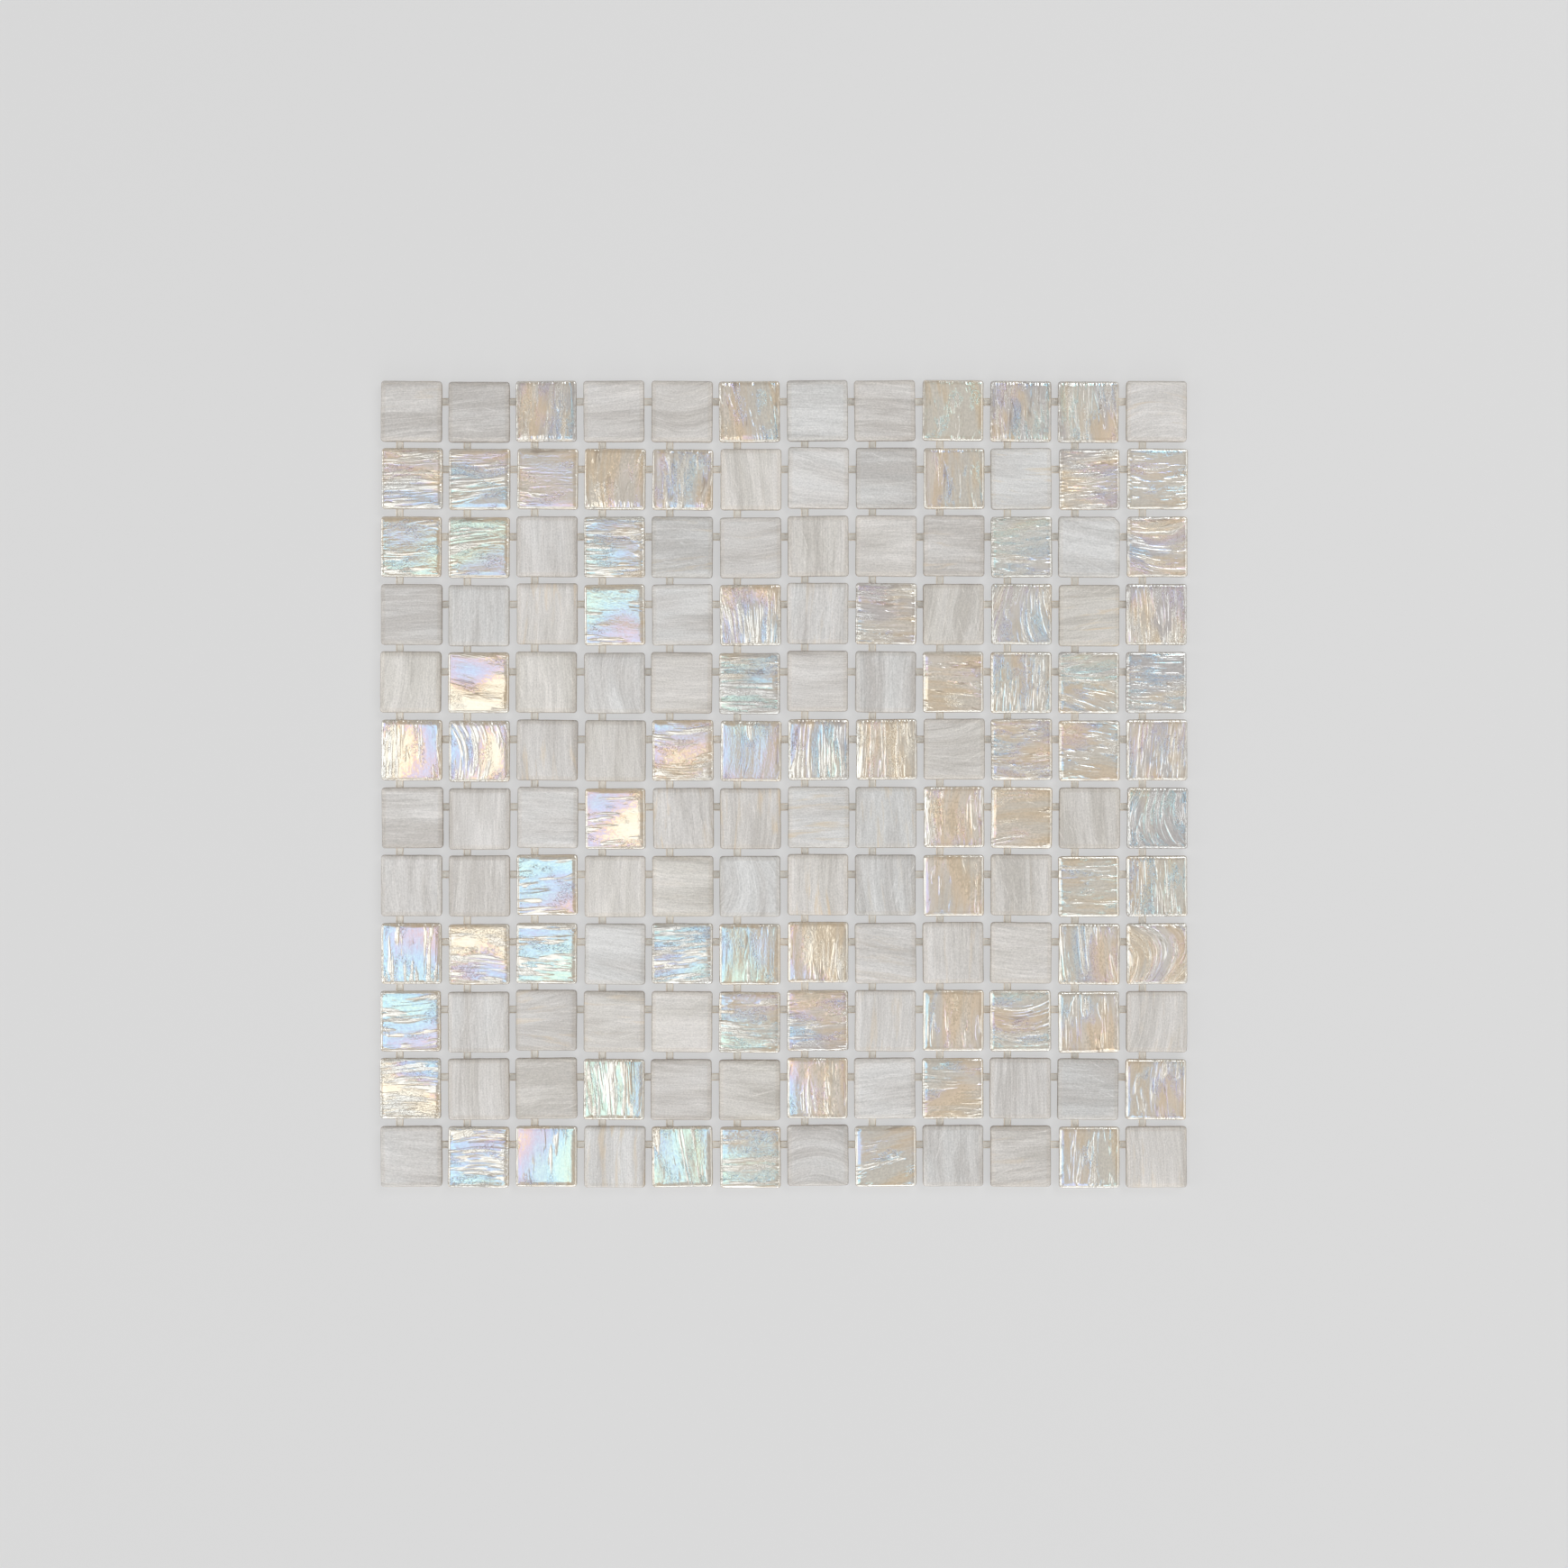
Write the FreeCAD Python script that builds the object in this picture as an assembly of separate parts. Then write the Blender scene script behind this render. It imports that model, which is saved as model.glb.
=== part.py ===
import FreeCAD, Part
import math
import os
import random

# A sheet of glass mosaic: square tiles of two kinds of glass, laid face up in rows on a backing net.
# The origin is the centre of the underside. X runs along the rows, Y up the columns, Z up through
# the faces. Row 1 is the one with the highest Y, column 1 the one with the lowest X.
# All sizes are in millimetres and all angles in degrees.

# The grid of tiles
ROWS = 12
COLUMNS = 12
TILE_WIDTH = 22.6
TILE_LENGTH = 22.6
JOINT = 2.4

# One tile: a rounded face, a short upright rim, and sides that lean in towards the back
TILE_THICKNESS = 4.0
CORNER_RADIUS = 1.2
TOP_ROUND = 1.0
RIM_HEIGHT = 0.5
BACK_INSET = 0.2
# A round along the face, or the sides' lean, takes up at most this share of the corner's radius
ROUND_LIMIT = 0.9

# One tile has lost a corner of its outline
CLIPPED_ROW = 3
CLIPPED_COLUMN = 11
CLIP_LENGTH = 2.2

# How unevenly the tiles are pressed and laid, as the most to either side. A slip moves a whole row
# along X or a whole column along Y.
SIZE_SPREAD = 0.15
PLACE_SPREAD = 0.18
SLIP_SPREAD = 0.3
TURN_SPREAD = 0.6
LAYING_SEED = 21

# The mix of the two kinds of glass
IRIDISED_SHARE = 0.52
MIX_SEED = 18338

# The backing net: flat strips, one behind each column and one behind each row, welded where they cross
STRIP_WIDTH = 2.8
NET_THICKNESS = 0.3
COLUMN_STRIP_PLACE = 6.5
ROW_STRIP_PLACE = 7.3
NET_MARGIN = 1.6

UP = FreeCAD.Vector(0, 0, 1)
COLUMN_PITCH = TILE_WIDTH + JOINT
ROW_PITCH = TILE_LENGTH + JOINT
SHEET_WIDTH = COLUMNS * COLUMN_PITCH - JOINT
SHEET_LENGTH = ROWS * ROW_PITCH - JOINT
BACK_Z = NET_THICKNESS
FACE_Z = BACK_Z + TILE_THICKNESS


def outline(width, length, radius, clip, z):
    """The closed outline of a tile at height z, with the corner at high X and high Y clipped if asked."""
    x, y = width / 2, length / 2
    bulge = radius * (1 - math.sqrt(0.5))
    corners = []
    for sx, sy, cut in ((1, 1, clip), (-1, 1, 0), (-1, -1, 0), (1, -1, 0)):
        reach = cut or radius
        on_side = FreeCAD.Vector(sx * x, sy * (y - reach), z)
        on_end = FreeCAD.Vector(sx * (x - reach), sy * y, z)
        first, last = (on_side, on_end) if sx == sy else (on_end, on_side)
        middle = FreeCAD.Vector(sx * (x - bulge), sy * (y - bulge), z)
        curve = Part.LineSegment(first, last) if cut else Part.Arc(first, middle, last)
        corners.append((first, curve, last))
    edges = []
    for (_, curve, last), (following, _, _) in zip(corners, corners[1:] + corners[:1]):
        edges.append(curve.toShape())
        edges.append(Part.LineSegment(last, following).toShape())
    return Part.Wire(edges)


def make_tile(width, length, clip):
    """One tile, centred on the Z axis, with its back on the net's upper face."""
    top_round = min(TOP_ROUND, ROUND_LIMIT * CORNER_RADIUS)
    rim_z = FACE_Z - top_round - RIM_HEIGHT
    back_radius = CORNER_RADIUS - min(BACK_INSET, ROUND_LIMIT * CORNER_RADIUS)
    rim = outline(width, length, CORNER_RADIUS, clip, rim_z)
    back = outline(width - 2 * BACK_INSET, length - 2 * BACK_INSET, back_radius, clip, BACK_Z)
    upper = Part.Face(rim).extrude(UP * (FACE_Z - rim_z))
    face_edges = [e for e in upper.Edges if e.BoundBox.ZMin > FACE_Z - top_round / 2]
    upper = upper.makeFillet(top_round, face_edges)
    lower = Part.makeLoft([back, rim], True, True)
    return upper.fuse(lower)


def lay_tiles():
    """All tiles in their places, as a list of (row, column, solid)."""
    draw = random.Random(LAYING_SEED)
    row_slips = [draw.uniform(-SLIP_SPREAD, SLIP_SPREAD) for _ in range(ROWS)]
    column_slips = [draw.uniform(-SLIP_SPREAD, SLIP_SPREAD) for _ in range(COLUMNS)]
    tiles = []
    for row in range(1, ROWS + 1):
        for column in range(1, COLUMNS + 1):
            width = TILE_WIDTH + draw.uniform(-SIZE_SPREAD, SIZE_SPREAD)
            length = TILE_LENGTH + draw.uniform(-SIZE_SPREAD, SIZE_SPREAD)
            clipped = (row, column) == (CLIPPED_ROW, CLIPPED_COLUMN)
            tile = make_tile(width, length, CLIP_LENGTH if clipped else 0)
            x = (TILE_WIDTH - SHEET_WIDTH) / 2 + (column - 1) * COLUMN_PITCH
            y = (SHEET_LENGTH - TILE_LENGTH) / 2 - (row - 1) * ROW_PITCH
            x += row_slips[row - 1] + draw.uniform(-PLACE_SPREAD, PLACE_SPREAD)
            y += column_slips[column - 1] + draw.uniform(-PLACE_SPREAD, PLACE_SPREAD)
            tile.rotate(FreeCAD.Vector(), UP, draw.uniform(-TURN_SPREAD, TURN_SPREAD))
            tile.translate(FreeCAD.Vector(x, y, 0))
            tiles.append((row, column, tile))
    return tiles


def centre_tiles(tiles):
    """Moves all tiles together, so that their outer bounds are centred on the origin."""
    box = Part.makeCompound([tile for _, _, tile in tiles]).BoundBox
    for _, _, tile in tiles:
        tile.translate(FreeCAD.Vector(-box.Center.x, -box.Center.y, 0))


def sort_tiles(tiles):
    """The tiles by the node that holds them: one for each kind of glass in each row."""
    draw = random.Random(MIX_SEED)
    nodes = {}
    for row, _, tile in tiles:
        kind = "iridised" if draw.random() < IRIDISED_SHARE else "milky"
        nodes.setdefault(f"{kind}_tiles_row_{row:02d}", []).append(tile)
    return nodes


def make_net():
    """The backing net as one flat piece."""
    x_end = SHEET_WIDTH / 2 - NET_MARGIN
    y_end = SHEET_LENGTH / 2 - NET_MARGIN
    strips = []
    for column in range(COLUMNS):
        x = -SHEET_WIDTH / 2 + column * COLUMN_PITCH + COLUMN_STRIP_PLACE - STRIP_WIDTH / 2
        corner = FreeCAD.Vector(x, -y_end, 0)
        strips.append(Part.makeBox(STRIP_WIDTH, 2 * y_end, NET_THICKNESS, corner))
    for row in range(ROWS):
        y = SHEET_LENGTH / 2 - row * ROW_PITCH - ROW_STRIP_PLACE - STRIP_WIDTH / 2
        corner = FreeCAD.Vector(-x_end, y, 0)
        strips.append(Part.makeBox(2 * x_end, STRIP_WIDTH, NET_THICKNESS, corner))
    return strips[0].multiFuse(strips[1:]).removeSplitter()


def main():
    tiles = lay_tiles()
    centre_tiles(tiles)
    os.makedirs("parts", exist_ok=True)
    for node, solids in sort_tiles(tiles).items():
        Part.makeCompound(solids).exportStep(f"parts/{node}.step")
    make_net().exportStep("parts/backing_net.step")


main()
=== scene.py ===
import math

import bpy
import numpy as np
from bpy.props import FloatProperty, FloatVectorProperty, IntProperty, PointerProperty
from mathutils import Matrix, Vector


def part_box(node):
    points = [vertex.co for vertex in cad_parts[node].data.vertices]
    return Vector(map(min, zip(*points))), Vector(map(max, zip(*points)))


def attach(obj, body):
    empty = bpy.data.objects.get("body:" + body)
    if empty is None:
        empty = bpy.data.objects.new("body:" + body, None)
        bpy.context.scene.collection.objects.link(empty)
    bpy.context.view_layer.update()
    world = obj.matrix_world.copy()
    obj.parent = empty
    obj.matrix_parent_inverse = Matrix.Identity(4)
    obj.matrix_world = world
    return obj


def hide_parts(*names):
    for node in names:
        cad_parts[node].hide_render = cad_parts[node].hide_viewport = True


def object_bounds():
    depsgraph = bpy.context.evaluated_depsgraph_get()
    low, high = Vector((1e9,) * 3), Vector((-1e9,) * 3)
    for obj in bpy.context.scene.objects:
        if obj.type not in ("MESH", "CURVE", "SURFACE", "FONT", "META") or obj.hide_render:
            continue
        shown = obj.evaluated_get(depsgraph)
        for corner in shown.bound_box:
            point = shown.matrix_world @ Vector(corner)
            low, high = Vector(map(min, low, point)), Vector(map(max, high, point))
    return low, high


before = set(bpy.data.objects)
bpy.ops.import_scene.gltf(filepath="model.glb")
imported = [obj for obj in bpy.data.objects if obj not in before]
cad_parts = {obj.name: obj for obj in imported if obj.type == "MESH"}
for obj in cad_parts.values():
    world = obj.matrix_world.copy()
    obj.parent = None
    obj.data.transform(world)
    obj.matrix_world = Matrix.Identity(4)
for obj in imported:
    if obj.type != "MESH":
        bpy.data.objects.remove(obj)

bl_info = {
    "name": "Glass Mosaic Sheet",
    "version": (1, 0, 0),
    "blender": (4, 5, 0),
    "location": "3D View > Sidebar > Mosaic",
    "description": "Lays the pressed glass tiles and the backing net of a mosaic sheet over its solids",
    "category": "Add Mesh",
}

# The sheet as its solids give it. All lengths are in metres, unless a comment says millimetres.
ROWS, COLUMNS = 12, 12
SHEET_LOW, SHEET_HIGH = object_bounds()
_, NET_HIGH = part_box("backing_net")
FACE_Z = SHEET_HIGH.z
BACK_Z = NET_HIGH.z
MM = 0.001


class TileSettings(bpy.types.PropertyGroup):
    """The shape that all tiles share."""
    joint: FloatProperty(
        name="Joint", description="Gap between neighbouring tiles",
        default=2.4 * MM, unit="LENGTH")
    corner_radius: FloatProperty(
        name="Corner radius", description="Corners of a tile seen from above",
        default=1.2 * MM, unit="LENGTH")
    round_width: FloatProperty(
        name="Round width", description="How far in from the outline the edge rounds over",
        default=1.0 * MM, unit="LENGTH")
    bevel_width: FloatProperty(
        name="Bevel width", description="How far in from the outline the face starts to slope",
        default=1.9 * MM, unit="LENGTH")
    bevel_drop: FloatProperty(
        name="Bevel drop", description="How far the face slopes down before it rounds over",
        default=0.107 * MM, unit="LENGTH")
    round_drop: FloatProperty(
        name="Round drop", description="How far below the face the outline lies",
        default=1.0 * MM, unit="LENGTH")
    rim_height: FloatProperty(
        name="Rim height", description="Upright band under the rounded edge",
        default=0.5 * MM, unit="LENGTH")
    back_inset: FloatProperty(
        name="Back inset", description="How far the sides lean in towards the back",
        default=0.2 * MM, unit="LENGTH")
    back_bevel: FloatProperty(
        name="Back bevel", description="Small bevel round the back",
        default=0.2 * MM, unit="LENGTH")
    edge_waver: FloatProperty(
        name="Edge waver", description="How far the outline wanders inwards",
        default=0.10 * MM, unit="LENGTH")
    lines_across: IntProperty(
        name="Lines across", description="Mesh lines across the grain of a face",
        default=46)
    lines_along: IntProperty(
        name="Lines along", description="Mesh lines along the grain of a face",
        default=16)
    seed: IntProperty(
        name="Seed", description="Picks the grain and relief of every tile",
        default=5)


class MilkySettings(bpy.types.PropertyGroup):
    """The milky glass."""
    swell: FloatProperty(
        name="Swell", description="Broad unevenness",
        default=0.05 * MM, unit="LENGTH")
    ridge: FloatProperty(
        name="Ridge", description="Height of the ridges",
        default=0.003 * MM, unit="LENGTH")
    groove: FloatProperty(
        name="Groove", description="Depth of the grooves",
        default=0.01 * MM, unit="LENGTH")
    shade: FloatVectorProperty(
        name="Shade", description="The darker streaks",
        default=(0.495, 0.476, 0.455), subtype="COLOR")
    body: FloatVectorProperty(
        name="Body", description="Most of the glass",
        default=(0.59, 0.574, 0.554), subtype="COLOR")
    light: FloatVectorProperty(
        name="Light", description="The white streaks",
        default=(0.665, 0.647, 0.627), subtype="COLOR")
    wisp: FloatVectorProperty(
        name="Wisp", description="The amber wisps",
        default=(0.66, 0.52, 0.33), subtype="COLOR")


class IridisedSettings(bpy.types.PropertyGroup):
    """The iridised glass."""
    swell: FloatProperty(
        name="Swell", description="Broad unevenness",
        default=0.09 * MM, unit="LENGTH")
    ridge: FloatProperty(
        name="Ridge", description="Height of the ridges",
        default=0.014 * MM, unit="LENGTH")
    groove: FloatProperty(
        name="Groove", description="Depth of the grooves",
        default=0.07 * MM, unit="LENGTH")
    amber: FloatVectorProperty(
        name="Amber", description="Warm streaks",
        default=(0.68, 0.568, 0.432), subtype="COLOR")
    beige: FloatVectorProperty(
        name="Beige", description="Pale streaks",
        default=(0.648, 0.599, 0.527), subtype="COLOR")
    lilac: FloatVectorProperty(
        name="Lilac", description="Cool pinkish streaks",
        default=(0.546, 0.515, 0.5), subtype="COLOR")
    sage: FloatVectorProperty(
        name="Sage", description="Cool greyish streaks",
        default=(0.608, 0.584, 0.539), subtype="COLOR")
    # Painted shade, a dark brown, for the grooves and dots
    painted_groove_shade: FloatVectorProperty(
        name="Painted groove shade", description="In the grooves",
        default=(0.34, 0.27, 0.21), subtype="COLOR")
    white_film: FloatProperty(
        name="White film", description="Film on the rim and ridges, which mirrors white, in nanometres",
        default=63.0)
    cream_film: FloatProperty(
        name="Cream film", description="Film that mirrors cream, in nanometres",
        default=76.0)
    pink_film: FloatProperty(
        name="Pink film", description="Film that mirrors pink, in nanometres",
        default=137.0)
    cyan_film: FloatProperty(
        name="Cyan film", description="Film that mirrors cyan, the thickest, in nanometres",
        default=189.0)


class NetSettings(bpy.types.PropertyGroup):
    """The backing net."""
    strip_width: FloatProperty(
        name="Strip width", description="Width of one strip",
        default=2.8 * MM, unit="LENGTH")
    film_thickness: FloatProperty(
        name="Film thickness", description="Thickness between the threads",
        default=0.16 * MM, unit="LENGTH")
    thread_width: FloatProperty(
        name="Thread width", description="Width of one thread",
        default=0.55 * MM, unit="LENGTH")
    film_colour: FloatVectorProperty(
        name="Film colour", description="Between the threads",
        default=(0.97, 0.96, 0.92), subtype="COLOR")
    thread_colour: FloatVectorProperty(
        name="Thread colour", description="Along the threads",
        default=(0.84, 0.76, 0.65), subtype="COLOR")


class StageSettings(bpy.types.PropertyGroup):
    """Floor, backdrop, lamps and camera."""
    view_width: FloatProperty(
        name="View width", description="Width that the picture takes in",
        default=0.578, unit="LENGTH")
    camera_height: FloatProperty(
        name="Camera height", description="Height of the camera",
        default=0.9, unit="LENGTH")
    panel_height: FloatProperty(
        name="Panel height", description="Height of the flat soft lamps",
        default=1.5, unit="LENGTH")
    floor_colour: FloatVectorProperty(
        name="Floor colour", description="The pale floor and backdrop",
        default=(0.69, 0.69, 0.69), subtype="COLOR")
    floor_glow: FloatProperty(
        name="Floor glow", description="Share of the floor's paleness that needs no light",
        default=0.75)
    floor_reach: FloatProperty(
        name="Floor reach", description="How far the floor goes each way",
        default=3.4, unit="LENGTH")
    backdrop_height: FloatProperty(
        name="Backdrop height", description="Height of the walls round the floor",
        default=2.4, unit="LENGTH")


def settings(group):
    """One of the groups of sizes and colours above."""
    return getattr(bpy.context.scene, "mosaic_" + group)


# Shapes

# Where a face starts to slope wanders by this share of the place's distance in from the outline
BEVEL_WAVER = 0.08
# How many mesh lines the slope has, and where the round has some, by the degrees it has turned through
SLOPE_LINES = 3
ROUND_ANGLES = (25, 45, 65, 90)
# The slope's drop differs from tile to tile by up to this share, and faces tilt by about this gradient
DROP_SPREAD = 0.1
TILT_SPREAD = 0.003

# About how far the grain of a tile slants, in degrees, and how much it fans out and bows with each
# millimetre. This share of the tiles is curled, with so many times the fan and the bow.
SLANT_SPREAD = 4
FAN_SPREAD = 0.004
BOW_SPREAD = 0.003
CURLED_SHARE = 0.12
CURL = 5

# Edges sharper than this, in degrees, aren't smoothed over
SHARP_ANGLE = 50


class Noise:
    """Smooth seeded noise over the plane, from about -1 to 1. A number that is added to a coordinate
    only picks another part of it."""
    SIZE = 64

    def __init__(self, draw):
        self.table = draw.uniform(-1, 1, (self.SIZE, self.SIZE))

    def __call__(self, x, y):
        i, j = np.floor(x).astype(int), np.floor(y).astype(int)
        fx, fy = x - i, y - j
        fx, fy = fx * fx * (3 - 2 * fx), fy * fy * (3 - 2 * fy)
        low = self.pick(i, j) * (1 - fx) + self.pick(i + 1, j) * fx
        high = self.pick(i, j + 1) * (1 - fx) + self.pick(i + 1, j + 1) * fx
        return low * (1 - fy) + high * fy

    def pick(self, i, j):
        return self.table[i % self.SIZE, j % self.SIZE]


class Tile:
    """Where one tile's solid lies, how it is turned, its size, and which corner is clipped."""
    # The turns to choose from, in steps of a twentieth of a degree
    TURNS = np.radians(np.linspace(-1.5, 1.5, 61))
    CORNERS = ((1, 1), (-1, 1), (-1, -1), (1, -1))

    def __init__(self, row, column, points):
        self.row, self.column = row, column
        spans = [np.ptp(points @ self.axes(t), axis=0).prod() for t in self.TURNS]
        self.turn = self.TURNS[int(np.argmin(spans))]
        local = points @ self.axes(self.turn)
        middle = (local.min(axis=0) + local.max(axis=0)) / 2
        self.centre = middle @ self.axes(self.turn).T
        self.half = np.ptp(local, axis=0) / 2
        self.clips = {}
        for corner in self.CORNERS:
            lost = self.half.sum() - ((local - middle) @ corner).max()
            if lost > settings("tiles").corner_radius:
                self.clips[corner] = lost

    @staticmethod
    def axes(turn):
        """The tile's own axes as columns, which turn the sheet's coordinates into its own."""
        return np.array([[math.cos(turn), -math.sin(turn)], [math.sin(turn), math.cos(turn)]])


def solid_points(node):
    """The corner points of a node's solids."""
    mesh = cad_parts[node].data
    points = np.zeros(len(mesh.vertices) * 3)
    mesh.vertices.foreach_get("co", points)
    return points.reshape(-1, 3)


def tiles_of(node, row):
    """The tiles of one node, read from its solids, from left to right."""
    points = solid_points(node)[:, :2]
    joint = settings("tiles").joint
    pitch = (SHEET_HIGH.x - SHEET_LOW.x + joint) / COLUMNS
    columns = np.floor((points[:, 0] - SHEET_LOW.x + joint / 2) / pitch).astype(int)
    return [Tile(row, int(c) + 1, points[columns == c]) for c in np.unique(columns)]


def line_places(half, count):
    """Places of the mesh lines across one half-width each way: even on the face, closer on its slope and
    closest where the edge rounds over."""
    shape = settings("tiles")
    start = (1 + BEVEL_WAVER) * shape.bevel_width
    inner = np.linspace(-(half - start), half - start, count)
    slope = half - np.linspace(start, shape.round_width, SLOPE_LINES + 1)[1:]
    outer = half - shape.round_width * (1 - np.sin(np.radians(ROUND_ANGLES)))
    outer = np.concatenate([slope, outer])
    return np.concatenate([-outer[::-1], inner, outer])


def round_corners(tile, x, y):
    """Moves grid points so that the grid's square corners follow the tile's rounded or clipped ones."""
    radius = settings("tiles").corner_radius
    for sx, sy in Tile.CORNERS:
        reach = tile.clips.get((sx, sy), radius)
        px = sx * x - (tile.half[0] - reach)
        py = sy * y - (tile.half[1] - reach)
        inside = (px > 0) & (py > 0)
        span = px + py if (sx, sy) in tile.clips else np.hypot(px, py)
        pull = np.maximum(px, py)[inside] / span[inside]
        x[inside] = sx * (tile.half[0] - reach + px[inside] * pull)
        y[inside] = sy * (tile.half[1] - reach + py[inside] * pull)
    return x, y


def edge_distance(tile, x, y):
    """Distance in from the tile's outline."""
    radius = settings("tiles").corner_radius
    qx = np.abs(x) - (tile.half[0] - radius)
    qy = np.abs(y) - (tile.half[1] - radius)
    outside = np.hypot(np.maximum(qx, 0), np.maximum(qy, 0))
    distance = radius - outside - np.minimum(np.maximum(qx, qy), 0)
    for (sx, sy), cut in tile.clips.items():
        line = (tile.half.sum() - cut - sx * x - sy * y) / math.sqrt(2)
        distance = np.minimum(distance, line)
    return np.maximum(distance, 0)


def grain(x, y, upright, draw):
    """Coordinates along and across the grain that the glass was drawn with, in millimetres."""
    slant = math.radians(draw.normal(0, SLANT_SPREAD))
    fan = draw.normal(0, FAN_SPREAD)
    bow = draw.normal(0, BOW_SPREAD)
    if draw.random() < CURLED_SHARE:
        fan, bow = fan * CURL, bow * CURL
    along, across = (y, -x) if upright else (x, y)
    along, across = along / MM, across / MM
    u = along * math.cos(slant) + across * math.sin(slant)
    v = across * math.cos(slant) - along * math.sin(slant)
    drift = Noise(draw)
    v = v * (1 + fan * u) + bow * u * u + 0.25 * drift(u / 9 + 20, v / 7 + 20)
    return u, v


def relief(u, v, draw, depths):
    """Heights of the pressed face: a broad swell, long ridges with finer ones between them, and a few
    narrow grooves. The divisors are the relief's spacing along and across the grain, in millimetres."""
    swell, ridge, groove = depths
    broad, long, fine, cut = Noise(draw), Noise(draw), Noise(draw), Noise(draw)
    height = swell * broad(u / 13 + 9, v / 6 + 9)
    height += ridge * long(u / 8 + 9, v / 1.3 + 9)
    height += 0.5 * ridge * fine(u / 4 + 9, v / 0.8 + 9)
    ditch = 1 - np.abs(cut(u / 11 + 9, v / 2.2 + 9)) / 0.07
    height -= groove * np.clip(ditch, 0, 1) ** 2 * np.clip(long(u / 6, v / 5) * 2 - 0.2, 0, 1)
    return height


def face_heights(x, y, u, v, edge, wander, draw, depths):
    """Heights over a tile: its pressed face, which fades into a slope, and the rounded edge."""
    shape = settings("tiles")
    wandering = wander((x + y) / MM / 3 + 50, (x - y) / MM / 3 + 50)
    bevel = shape.bevel_width * (1 + BEVEL_WAVER * wandering)
    bevel_drop = shape.bevel_drop * draw.uniform(1 - DROP_SPREAD, 1 + DROP_SPREAD)
    slope = np.clip((bevel - edge) / (bevel - shape.round_width), 0, 1)
    fall = 1 - np.clip(edge / shape.round_width, 0, 1)
    z = FACE_Z - bevel_drop * slope - (shape.round_drop - bevel_drop) * (1 - np.sqrt(1 - fall ** 2))
    bumps = relief(u, v, draw, depths)
    tilt = draw.normal(0, TILT_SPREAD, 2)
    bumps += tilt[0] * x + tilt[1] * y
    bumps -= bumps.max()
    z += bumps.mean() + (bumps - bumps.mean()) * np.clip(edge / shape.bevel_width, 0, 1)
    return z


def waver_outline(tile, x, y, wander):
    """Pulls the points in a little, more in one place than in another, so that the outline wanders."""
    waver = settings("tiles").edge_waver
    pull_x = waver * (0.5 + 0.5 * wander(y / MM / 3.5 + 9, np.sign(x) * 3.0 + 9))
    pull_y = waver * (0.5 + 0.5 * wander(x / MM / 3.5 + 30, np.sign(y) * 3.0 + 9))
    return x * (1 - pull_x / tile.half[0]), y * (1 - pull_y / tile.half[1])


def grid_faces(index):
    """The square faces of a grid of point numbers, and the ring of point numbers round it."""
    quads = np.stack([index[:-1, :-1], index[:-1, 1:], index[1:, 1:], index[1:, :-1]], axis=-1)
    ring = np.concatenate([index[0, :-1], index[:-1, -1], index[-1, :0:-1], index[:0:-1, 0]])
    return quads.reshape(-1, 4).tolist(), ring


def add_sides(tile, points, faces, facts, ring):
    """Adds the upright rim, the leaning sides and the back, down from the ring round the face."""
    shape = settings("tiles")
    steps = (
        (0.0, FACE_Z - shape.round_drop - shape.rim_height),
        (shape.back_inset, BACK_Z + shape.back_bevel),
        (shape.back_inset + shape.back_bevel, BACK_Z),
    )
    rim, rim_facts = points[ring], facts[ring]
    above = ring
    for inset, height in steps:
        layer = rim.copy()
        layer[:, 0] *= 1 - inset / tile.half[0]
        layer[:, 1] *= 1 - inset / tile.half[1]
        layer[:, 2] = height
        # Down the side, the distance from the outline is negative
        rim_facts[:, 2] = (height - rim[:, 2]) / MM
        start = len(points)
        points = np.vstack([points, layer])
        facts = np.vstack([facts, rim_facts])
        new = np.arange(start, start + len(ring))
        wall = np.stack([above, new, np.roll(new, -1), np.roll(above, -1)], axis=-1)
        faces += wall.tolist()
        above = new
    faces.append(above[::-1].tolist())
    return points, faces, facts


def tile_mesh(tile, depths):
    """Points and faces of one tile, placed on the sheet; the facts of each point, which are its place
    along and across the grain and its distance in from the outline, in millimetres; three tones from
    0 to 1, and a number that sets the tile's noise apart from its neighbours'."""
    shape = settings("tiles")
    draw = np.random.default_rng((shape.seed, tile.row, tile.column))
    upright = draw.random() < 0.5
    lines = (shape.lines_across, shape.lines_along)
    if not upright:
        lines = lines[::-1]
    places = [line_places(half, count) for half, count in zip(tile.half, lines)]
    x, y = round_corners(tile, *np.meshgrid(*places))
    u, v = grain(x, y, upright, draw)
    edge = edge_distance(tile, x, y)
    wander = Noise(draw)
    z = face_heights(x, y, u, v, edge, wander, draw, depths)
    x, y = waver_outline(tile, x, y, wander)

    faces, ring = grid_faces(np.arange(x.size).reshape(x.shape))
    points = np.stack([x.ravel(), y.ravel(), z.ravel()], axis=1)
    facts = np.stack([u.ravel(), v.ravel(), edge.ravel() / MM], axis=1)
    points, faces, facts = add_sides(tile, points, faces, facts, ring)
    points[:, :2] = points[:, :2] @ Tile.axes(tile.turn).T + tile.centre
    tones = draw.random(3)
    return points, faces, facts, tones, draw.uniform(0, 200)


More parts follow.
